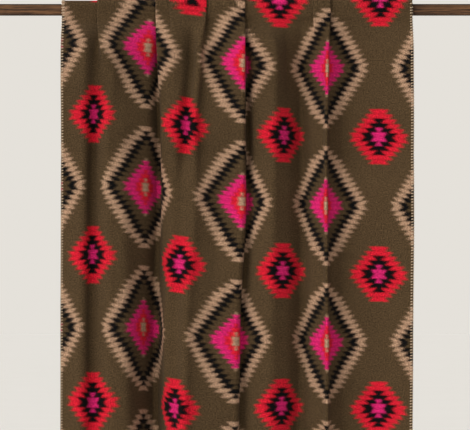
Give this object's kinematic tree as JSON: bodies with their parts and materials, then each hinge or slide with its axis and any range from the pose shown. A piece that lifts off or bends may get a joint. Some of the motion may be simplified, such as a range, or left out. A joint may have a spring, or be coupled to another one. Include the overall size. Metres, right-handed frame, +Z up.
{
  "type": "wool throw hanging over a wooden rod",
  "caption": "Patterned wool throw with whip-stitched edges, folded over a plain wooden rod so that it hangs in soft uneven folds.",
  "frame": {"origin": "middle of the rod's flat underside", "axes": "+X along the rod, to the right seen from the front; -Y towards the viewer, on the side of the long fall; +Z up"},
  "size_m": [1.44, 0.1919, 1.3307],
  "materials": {
    "throw": "thick brushed wool, matt, olive brown ground with tan, black, red and pink diamonds, light whip stitches on its edges",
    "rod": "dark brown stained wood, open grain, satin"
  },
  "bodies": {
    "root": {"throw": "throw", "rod": "rod"}
  },
  "joints": []
}
